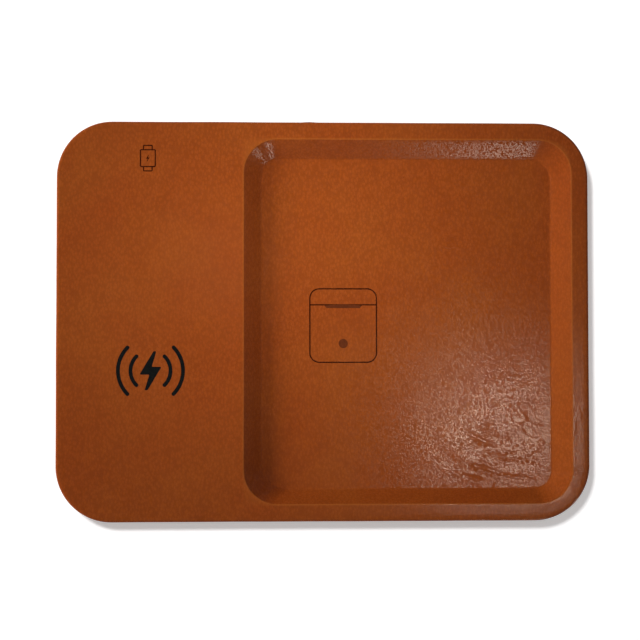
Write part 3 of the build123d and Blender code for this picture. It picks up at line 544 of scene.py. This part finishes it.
def mixed(tree, factor, first, second, blend="MIX"):
    """Two colours mixed."""
    inputs = {0: factor, 6: first, 7: second}
    made = put(tree, "ShaderNodeMix", inputs, data_type="RGBA", blend_type=blend)
    return made.outputs[2]


def mixed_value(tree, operation, first, second):
    """Two values put together by a sum, product or other operation."""
    return put(tree, "ShaderNodeMath", {0: first, 1: second}, operation=operation).outputs[0]


# Scales of the hide's patterns, in cycles a metre: its broad tone, its mottle, the small cells of
# its colour, its pebbles and the roughness on them
BROAD_SCALE, MOTTLE_SCALE, CELL_SCALE = 22, 140, 900
PEBBLE_SCALE, PEBBLE_FINE_SCALE = 1200, 2100
# The cells are longer from front to rear, and their edges wander by this much
CELL_STRETCH, CELL_JITTER = (1, 0.55, 1), 0.25
# Depth of the pebbles in metres, and the heights on them where they are dull and where glossy
PEBBLE_DEPTH = 0.000013
DULL_HEIGHT, GLOSSY_HEIGHT = -0.44, -0.20

# Tones along each pattern: cognac, its mottle and its cells, and the paler tan painted over the lip
# as a highlight
BROAD_TONES = [(0.30, (0.2788, 0.05253, 0.006845)), (0.70, (0.2979, 0.06432, 0.008611))]
MOTTLE_TONES = [(0.30, (0.96, 0.955, 0.96)), (0.70, (1.03, 1.035, 1.03))]
CELL_TONES = [(0.15, (1.12, 1.14, 1.20)), (0.65, (0.90, 0.89, 0.88))]
HIGHLIGHT_TAN, HIGHLIGHT_SHARE = (0.42, 0.115, 0.018, 1), 0.5

# Tones of the prints, which speckle at this scale
SPECKLE_SCALE = 500
INK_TONES = [(0.30, (0.0015, 0.002, 0.002)), (0.75, (0.005, 0.006, 0.005))]
BURNT_LINE_TONES = [(0.30, (0.026, 0.0040, 0.0008)), (0.75, (0.046, 0.0075, 0.0014))]
BURNT_AREA_TONES = [(0.30, (0.090, 0.020, 0.0055)), (0.75, (0.130, 0.029, 0.0075))]


def hide_grain(tree, shader, depth, smooth, rough):
    """A fine-grained hide: small glossy pebbles, and dull grooves and pores between."""
    place = put(tree, "ShaderNodeTexCoord").outputs["Object"]
    pebble = put(tree, "ShaderNodeTexVoronoi", {"Vector": place, "Scale": PEBBLE_SCALE})
    fine = mixed_value(tree, "MULTIPLY", cloud(tree, PEBBLE_FINE_SCALE, 2.0, 0.6), 0.5)
    height = mixed_value(tree, "SUBTRACT", fine, pebble.outputs["Distance"])
    inputs = {"Value": height, "From Min": DULL_HEIGHT, "From Max": GLOSSY_HEIGHT}
    inputs |= {"To Min": rough, "To Max": smooth}
    gloss = put(tree, "ShaderNodeMapRange", inputs, interpolation_type="SMOOTHSTEP")
    tree.links.new(gloss.outputs[0], shader.inputs["Roughness"])
    bumped(tree, shader, height, 1.0, PEBBLE_DEPTH * depth)


def tan_leather():
    """Waxed full-grain hide in cognac, mottled, with a soft shine and a painted lip highlight."""
    material, tree, shader = new_finish("tan_leather_hide")
    broad = ramp(tree, cloud(tree, BROAD_SCALE, 2.0, 0.55), BROAD_TONES)
    mottle = ramp(tree, cloud(tree, MOTTLE_SCALE, 3.0, 0.5), MOTTLE_TONES)
    place = object_place(tree, CELL_STRETCH)
    cells = put(tree, "ShaderNodeTexVoronoi", {"Vector": place, "Scale": CELL_SCALE})
    wander = spread(tree, cloud(tree, CELL_SCALE), -CELL_JITTER, CELL_JITTER)
    cells = mixed_value(tree, "ADD", cells.outputs["Distance"], wander)
    tone = mixed(tree, 1.0, broad, mottle, "MULTIPLY")
    tone = mixed(tree, 1.0, tone, ramp(tree, cells, CELL_TONES), "MULTIPLY")
    # A paler tan painted along the recess's lip as a highlight
    lip_highlight = put(tree, "ShaderNodeAttribute", attribute_name="lip_highlight_paint").outputs["Fac"]
    tone = mixed(tree, mixed_value(tree, "MULTIPLY", lip_highlight, HIGHLIGHT_SHARE), tone, HIGHLIGHT_TAN)
    tree.links.new(tone, shader.inputs["Base Color"])
    shader.inputs["Specular IOR Level"].default_value = 0.08
    hide_grain(tree, shader, depth=1.0, smooth=0.18, rough=0.97)
    return material


def dark_print():
    """Near-black print that lets the grain through."""
    material, tree, shader = new_finish("dark_print_ink")
    tone = ramp(tree, cloud(tree, SPECKLE_SCALE, 3.0, 0.6), INK_TONES)
    tree.links.new(tone, shader.inputs["Base Color"])
    shader.inputs["Specular IOR Level"].default_value = 0.06
    hide_grain(tree, shader, depth=0.5, smooth=0.35, rough=0.7)
    return material


def burnt_print():
    """Thin brown lines burnt into the hide, paler where they fill an area."""
    material, tree, shader = new_finish("burnt_line_print")
    speckle = cloud(tree, SPECKLE_SCALE, 3.0, 0.6)
    line, area = ramp(tree, speckle, BURNT_LINE_TONES), ramp(tree, speckle, BURNT_AREA_TONES)
    place = put(tree, "ShaderNodeTexCoord").outputs["Object"]
    within = None
    for (x, y), (half_x, half_y) in PRINTED_AREAS:
        scale = (1 / (half_x * MM), 1 / (half_y * MM), 0)
        shift = tuple(-c * s * MM for c, s in zip((x, y, 0), scale))
        inputs = {"Vector": place, "Location": shift, "Scale": scale}
        spot = put(tree, "ShaderNodeMapping", inputs).outputs[0]
        away = put(tree, "ShaderNodeVectorMath", {0: spot}, operation="LENGTH")
        inside = mixed_value(tree, "LESS_THAN", away.outputs["Value"], 1.0)
        within = inside if within is None else mixed_value(tree, "MAXIMUM", within, inside)
    tree.links.new(mixed(tree, within, line, area), shader.inputs["Base Color"])
    shader.inputs["Specular IOR Level"].default_value = 0.04
    hide_grain(tree, shader, depth=0.5, smooth=0.25, rough=0.7)
    return material


def moulded(
    name, low, high, roughness=(0.45, 0.6), grain=1800, depth=0.00003, strength=0.35, metallic=0.0
):
    """A moulded, rolled or coated surface: a slight tone drift, a fine texture and uneven shine."""
    material, tree, shader = new_finish(name)
    tone = ramp(tree, cloud(tree, 60, 4.0, 0.6), [(0.30, low), (0.72, high)])
    tree.links.new(tone, shader.inputs["Base Color"])
    tree.links.new(spread(tree, cloud(tree, 240, 3.0), *roughness), shader.inputs["Roughness"])
    shader.inputs["Metallic"].default_value = metallic
    bumped(tree, shader, cloud(tree, grain, 3.0, 0.6), strength, depth)
    return material


# Finishes by slot: name, darkest and lightest tone, lowest and highest roughness, then the
# texture in cycles a metre, its depth in metres and its strength, and how metallic it is
MOULDED = {
    "shell_plastic": ("shell_moulding", (0.020, 0.020, 0.021), (0.034, 0.033, 0.033)),
    "base_plastic": (
        "base_moulding", (0.016, 0.014, 0.013), (0.030, 0.026, 0.024),
        (0.5, 0.68), 1500, 0.00006, 0.5,
    ),
    "foot_rubber": (
        "foot_rubber_pad", (0.022, 0.022, 0.023), (0.040, 0.040, 0.041),
        (0.72, 0.88), 2400, 0.00006, 0.5,
    ),
    "screw_steel": (
        "screw_zinc", (0.46, 0.46, 0.47), (0.62, 0.61, 0.60),
        (0.24, 0.42), 3000, 0.00001, 0.3, 1.0,
    ),
    "coil_copper": (
        "coil_enamelled_wire", (0.52, 0.19, 0.06), (0.68, 0.27, 0.09),
        (0.22, 0.34), 2600, 0.00001, 0.3, 1.0,
    ),
    "ferrite": (
        "ferrite_sinter", (0.035, 0.034, 0.036), (0.070, 0.068, 0.070),
        (0.5, 0.7), 1600, 0.00006, 0.5,
    ),
    "grey_foam": (
        "foam_cells", (0.10, 0.10, 0.105), (0.18, 0.18, 0.185),
        (0.85, 0.98), 1100, 0.00025, 0.8,
    ),
    "bracket_plastic": ("bracket_moulding", (0.42, 0.42, 0.40), (0.56, 0.55, 0.52), (0.42, 0.58)),
    "magnet_nickel": (
        "magnet_plate", (0.60, 0.58, 0.54), (0.72, 0.70, 0.66),
        (0.12, 0.24), 2600, 0.00001, 0.2, 1.0,
    ),
    "clear_tape": (
        "film_tape", (0.40, 0.24, 0.04), (0.52, 0.33, 0.07),
        (0.22, 0.36), 900, 0.00003, 0.3,
    ),
    "chip_black": (
        "chip_compound", (0.012, 0.012, 0.013), (0.022, 0.022, 0.023),
        (0.45, 0.62), 2800, 0.00002, 0.4,
    ),
    "inductor_grey": (
        "inductor_pressing", (0.10, 0.10, 0.10), (0.16, 0.16, 0.155),
        (0.5, 0.7), 1500, 0.00005, 0.5,
    ),
    "capacitor_tan": (
        "capacitor_ceramic", (0.36, 0.22, 0.10), (0.46, 0.30, 0.15),
        (0.32, 0.5), 2200, 0.00002, 0.3,
    ),
    "connector_white": ("connector_nylon", (0.66, 0.64, 0.57), (0.76, 0.74, 0.68), (0.4, 0.55)),
    "inlet_steel": (
        "inlet_plate", (0.40, 0.40, 0.41), (0.56, 0.55, 0.55),
        (0.18, 0.34), 2600, 0.00001, 0.3, 1.0,
    ),
    "black_insert": ("inlet_insert", (0.012, 0.012, 0.012), (0.024, 0.024, 0.024), (0.4, 0.55)),
    "wire_red": (
        "wire_jacket", (0.36, 0.02, 0.015), (0.48, 0.035, 0.025),
        (0.35, 0.5), 1400, 0.00002, 0.3,
    ),
    "board_green": (
        "board_mask", (0.010, 0.085, 0.035), (0.020, 0.130, 0.055),
        (0.3, 0.45), 900, 0.00002, 0.4,
    ),
    "bezel_plastic": (
        "bezel_moulding", (0.030, 0.016, 0.010), (0.050, 0.028, 0.018),
        (0.4, 0.55), 2200, 0.00003, 0.4,
    ),
}
FINISHES = {slot: moulded(*look) for slot, look in MOULDED.items()}
FINISHES["tan_leather"] = tan_leather()
FINISHES["dark_print"] = dark_print()

thin_print = burnt_print()
node_slots = {part["node"]: part["material_slot"] for part in frame["record"]["subparts"]}
for name, node in frame["nodes"].items():
    finish = thin_print if name in ("watch_mark", "earbuds_mark") else FINISHES[node_slots[name]]
    for holder in node.material_slots:
        holder.material = finish

for piece, node, slot in (
    (leather, "leather_cover", "tan_leather"),
    (bezel, "port_bezel", "bezel_plastic"),
):
    piece.data.materials.append(FINISHES[slot])
    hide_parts(node)
    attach(piece, "root")


# Stage, lights and camera

FLOOR_REACH = 3
FLOOR_TONES = [(0.3, (0.93, 0.93, 0.93)), (0.7, (0.95, 0.95, 0.95))]
FLOOR_GLOW = 0.33
AMBIENT = 0.20
WHITE, WARM, WARMER = (1, 1, 1), (1.0, 0.88, 0.75), (1.0, 0.80, 0.64)
CAMERA_LENS = 78.75
CAMERA_PLACE = (-0.0258, -0.0216, 0.7223)
CAMERA_TURN = (1.80, -1.93, -0.07)


def lamp(
    name, place, aim, size, power, receivers, beam=180, diffuse=True, glossy=True, tint=WHITE
):
    """A rectangular softbox that faces a point, its power in watts and its beam in degrees."""
    data = bpy.data.lights.new(name, "AREA")
    data.shape = "RECTANGLE"
    data.size, data.size_y = size
    data.energy = power
    data.color = tint
    data.spread = math.radians(beam)
    made = bpy.data.objects.new(name, data)
    made.location = place
    made.rotation_euler = (Vector(aim) - Vector(place)).to_track_quat("-Z", "Y").to_euler()
    made.visible_camera = False
    made.visible_diffuse = diffuse
    made.visible_glossy = glossy
    made.light_linking.receiver_collection = receivers
    bpy.context.scene.collection.objects.link(made)


def background_seen(tree):
    """1 for rays that see the background: straight from the camera, or through gloss or glass."""
    rays = put(tree, "ShaderNodeLightPath").outputs
    first = mixed_value(tree, "MAXIMUM", rays["Is Camera Ray"], rays["Is Glossy Ray"])
    return mixed_value(tree, "MAXIMUM", first, rays["Is Transmission Ray"])


def make_floor():
    """A pale floor that looks white and keeps the tray's shadow."""
    bm = bmesh.new()
    bmesh.ops.create_grid(bm, x_segments=1, y_segments=1, size=FLOOR_REACH)
    floor = finished("studio_floor", bm)
    material, tree, shader = new_finish("studio_floor_paper")
    tree.links.new(ramp(tree, cloud(tree, 3), FLOOR_TONES), shader.inputs["Base Color"])
    shader.inputs["Roughness"].default_value = 0.9
    shader.inputs["Emission Color"].default_value = (*WHITE, 1)
    glow = mixed_value(tree, "MULTIPLY", background_seen(tree), FLOOR_GLOW)
    tree.links.new(glow, shader.inputs["Emission Strength"])
    floor.data.materials.append(material)
    return floor


floor = make_floor()
floor_only = bpy.data.collections.new("lit_floor")
floor_only.objects.link(floor)
tray_only = bpy.data.collections.new("lit_tray")
tray_only.objects.link(floor)
tray_only.collection_objects[0].light_linking.link_state = "EXCLUDE"

world = bpy.data.worlds.new("studio")
world.use_nodes = True
bpy.context.scene.world = world
sky = world.node_tree
base = sky.nodes["Background"]
seen = background_seen(sky)
level = put(sky, "ShaderNodeMapRange", {"Value": seen, "To Min": AMBIENT, "To Max": 1.0})
sky.links.new(level.outputs[0], base.inputs["Strength"])
base.inputs["Color"].default_value = (*WHITE, 1)

# The floor's own lamp casts the tray's shadow, two light the tray, and three lay shine on the hide
lamp("key_floor", (-0.317, 0.320, 1.2), (0, 0, 0), (0.14, 0.14), 12.0, floor_only, glossy=False)
lamp(
    "key_top", (-0.068, 0.060, 0.45), (0.000, 0.047, 0.0), (0.08, 0.08), 0.0635, tray_only,
    beam=41, glossy=False,
)
lamp(
    "fill_left", (-1.10, 0.17, 0.52), (0, 0, 0), (0.5, 0.4), 1.85, tray_only,
    beam=60, glossy=False,
)
lamp(
    "shine_floor", (0.335, -0.125, 1.5), (0.085, -0.054, 0.0), (0.11, 0.12), 0.0140, tray_only,
    beam=5, diffuse=False, tint=WARMER,
)
lamp(
    "shine_rear_wall", (0.26, -0.70, 0.09), (0.08, 0.09, 0.013), (0.20, 0.10), 2.7, tray_only,
    diffuse=False, tint=WARM,
)
lamp(
    "shine_corner", (0.60, -0.45, 0.06), (-0.03, 0.085, 0.013), (0.24, 0.18), 2.6, tray_only,
    diffuse=False, tint=WARM,
)

camera_data = bpy.data.cameras.new("camera")
camera_data.lens = CAMERA_LENS
camera = bpy.data.objects.new("camera", camera_data)
camera.location = CAMERA_PLACE
camera.rotation_euler = [math.radians(a) for a in CAMERA_TURN]
bpy.context.scene.collection.objects.link(camera)
bpy.context.scene.camera = camera

bpy.context.scene.view_settings.view_transform = "Standard"
